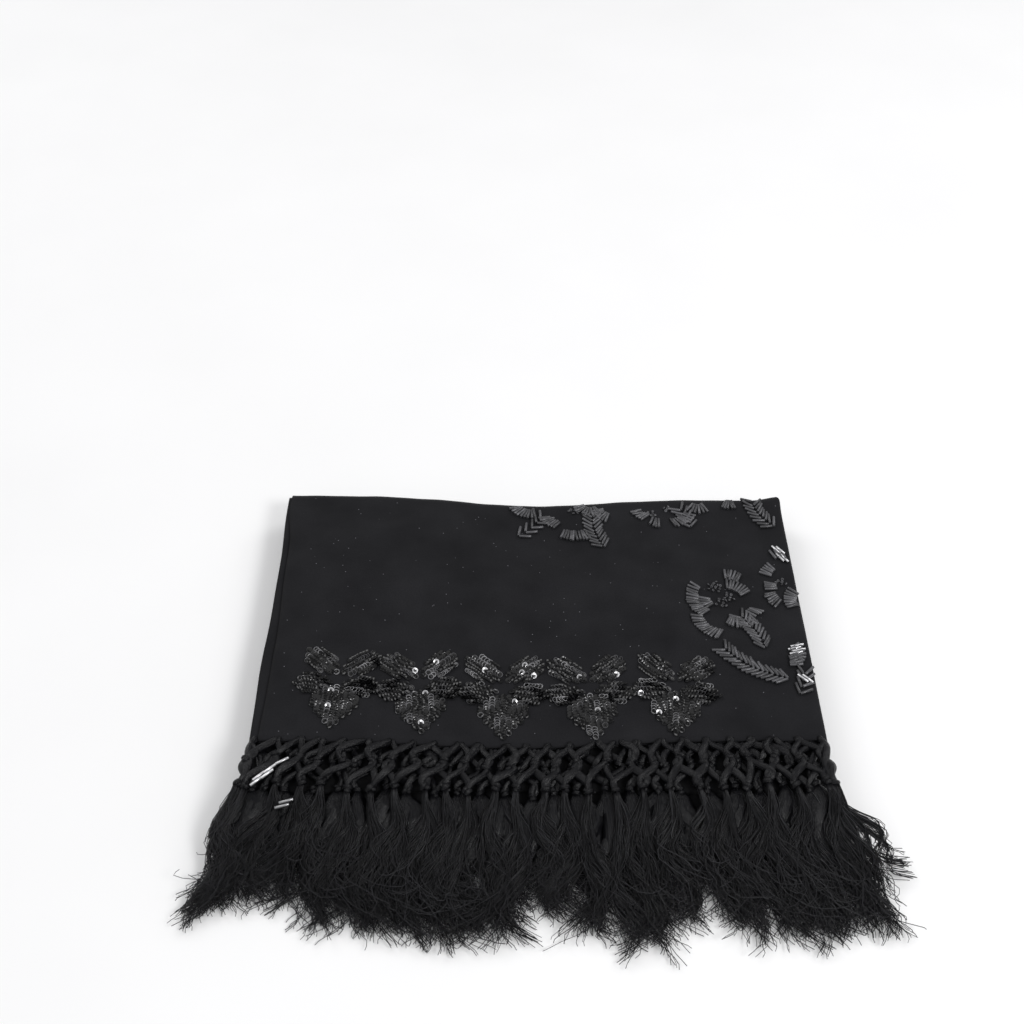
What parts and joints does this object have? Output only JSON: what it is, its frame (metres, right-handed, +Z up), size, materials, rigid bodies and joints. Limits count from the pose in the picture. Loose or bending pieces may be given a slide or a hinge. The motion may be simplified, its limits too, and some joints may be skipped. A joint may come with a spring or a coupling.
{
  "type": "folded embroidered wool scarf",
  "caption": "Fine wool scarf folded flat, with a sequin and bead flower border above its hem and a long hand-knotted fringe.",
  "frame": {"origin": "centre of the flat underside of the folded cloth, on the surface that it lies on", "axes": "+X along the hem towards the lengthwise fold, +Y away from the fringe, +Z up through the folded layers"},
  "size_m": [0.4451, 0.3826, 0.0339],
  "materials": {
    "wool": "fine black wool, plain weave, matt",
    "wool_top": "fine black wool, plain weave, matt, embroidered with black sequins and bugle beads",
    "silk_under": "black floss silk thread, soft lustre",
    "silk": "black floss silk thread, soft lustre"
  },
  "bodies": {
    "root": {"folded_layers": "wool", "end_panel": "wool_top", "under_fringe": "silk_under", "upper_fringe": "silk"}
  },
  "joints": []
}
